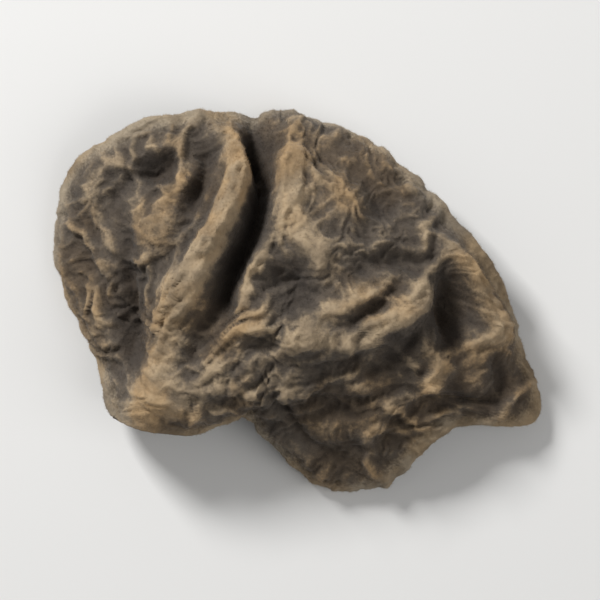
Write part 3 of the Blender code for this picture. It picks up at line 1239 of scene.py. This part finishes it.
BACK = TissueFinish(
    name="felted_back",
    shade_and_blotch=(0.043, 0.033, 0.025, 1),
    ground=(0.086, 0.067, 0.049, 1),
    crest=(0.335, 0.252, 0.157, 1),
    margin=(0.28, 0.228, 0.160, 1),
    roughness=0.86,
    sheen=0.05,
    coat=0.0,
    grain_scale=5500,
    grain_strength=0.5,
)
UNDER = TissueFinish(
    name="spore_side",
    shade_and_blotch=(0.008, 0.006, 0.005, 1),
    ground=(0.022, 0.015, 0.011, 1),
    crest=(0.05, 0.035, 0.024, 1),
    margin=(0.12, 0.08, 0.05, 1),
    roughness=0.42,
    sheen=0.0,
    coat=0.25,
    grain_scale=2500,
    grain_strength=0.25,
    roughness_change=0.25,
)
DOWN = TissueFinish(
    name="felt_down",
    shade_and_blotch=(0.075, 0.058, 0.043, 1),
    ground=(0.138, 0.112, 0.084, 1),
    crest=(0.41, 0.314, 0.200, 1),
    margin=(0.335, 0.276, 0.198, 1),
    roughness=0.86,
    sheen=0.0,
    coat=0.0,
    grain_scale=9000,
    grain_strength=0.0,
)


@dataclass(frozen=True)
class Lamp:
    """A square soft light, turned to the ear."""

    name: str
    place: Triple
    size: float
    power: float

    def build(self) -> None:
        """Puts the light in the scene."""
        light = bpy.data.lights.new(self.name, "AREA")
        light.size = self.size
        light.energy = self.power
        lamp = bpy.data.objects.new(self.name, light)
        lamp.location = self.place
        lamp.rotation_euler = (-Vector(self.place)).to_track_quat("-Z", "Y").to_euler()
        bpy.context.scene.collection.objects.link(lamp)


@dataclass(frozen=True)
class Studio:
    """A pale floor, soft lights and a camera that looks straight down."""

    lamps: tuple[Lamp, ...] = (
        Lamp("key", (-0.14, 0.17, 0.17), 0.07, 0.90),
        Lamp("fill", (0.20, -0.08, 0.20), 0.22, 0.3),
    )
    room_light: float = 0.26
    floor_side: float = 0.6
    floor_colour: Colour = (0.69, 0.685, 0.672, 1)
    floor_roughness: float = 0.8
    frame_width: float = 0.0345
    camera_height: float = 0.32
    sensor: float = 36.0
    nearest_seen: float = 0.01

    def floor(self) -> None:
        """Lays a wide pale sheet just under the ear."""
        mesh = bpy.data.meshes.new("floor")
        side = self.floor_side
        corners = [(-side, -side, 0), (side, -side, 0), (side, side, 0), (-side, side, 0)]
        mesh.from_pydata(corners, [], [(0, 1, 2, 3)])
        floor = bpy.data.objects.new("floor", mesh)
        bpy.context.scene.collection.objects.link(floor)
        material = bpy.data.materials.new("pale_floor")
        material.use_nodes = True
        shader = material.node_tree.nodes["Principled BSDF"]
        shader.inputs["Base Color"].default_value = self.floor_colour
        shader.inputs["Roughness"].default_value = self.floor_roughness
        mesh.materials.append(material)
        floor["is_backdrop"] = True

    def camera(self, low: Vector, high: Vector) -> None:
        """Looks straight down on the middle of the box, with +Y up in the picture.

        Args:
            low: The box's lowest corner.
            high: The box's highest corner.
        """
        data = bpy.data.cameras.new("camera")
        data.sensor_width = self.sensor
        data.clip_start = self.nearest_seen
        data.lens = self.camera_height * self.sensor / self.frame_width
        camera = bpy.data.objects.new("camera", data)
        middle = (low + high) / 2
        camera.location = (middle.x, middle.y, middle.z + self.camera_height)
        bpy.context.scene.collection.objects.link(camera)
        bpy.context.scene.camera = camera

    def build(self, low: Vector, high: Vector) -> None:
        """Sets up floor, lights, room and camera round the box between two corners.

        Args:
            low: The box's lowest corner.
            high: The box's highest corner.
        """
        self.floor()
        for lamp in self.lamps:
            lamp.build()
        room = bpy.data.worlds.new("soft_room")
        room.use_nodes = True
        room.node_tree.nodes["Background"].inputs["Color"].default_value = (1, 1, 1, 1)
        room.node_tree.nodes["Background"].inputs["Strength"].default_value = self.room_light
        bpy.context.scene.world = room
        bpy.context.scene.view_settings.view_transform = "Standard"
        self.camera(low, high)


def main() -> None:
    """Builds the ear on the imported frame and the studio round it."""
    logging.basicConfig(level=logging.INFO, format="%(name)s: %(message)s")
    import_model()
    cad_low, cad_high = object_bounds()
    ear = FruitBody().build()
    grain = TissueGrain().group()
    for finish in (BACK, UNDER):
        ear.data.materials.append(finish.material(grain))
    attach(ear, "root")
    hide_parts("fruit_body")
    log.info("%s: %d faces", ear.name, len(ear.data.polygons))
    felt = DOWN.material(grain)
    for count in (1, 2):
        down = Down(f"felt_down_{count}", Seed.DOWN + count).build(ear)
        down.data.materials.append(felt)
        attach(down, "root")
        log.info("%s: %d faces", down.name, len(down.data.polygons))
    Studio().build(cad_low, cad_high)


if __name__ == "__main__":
    main()
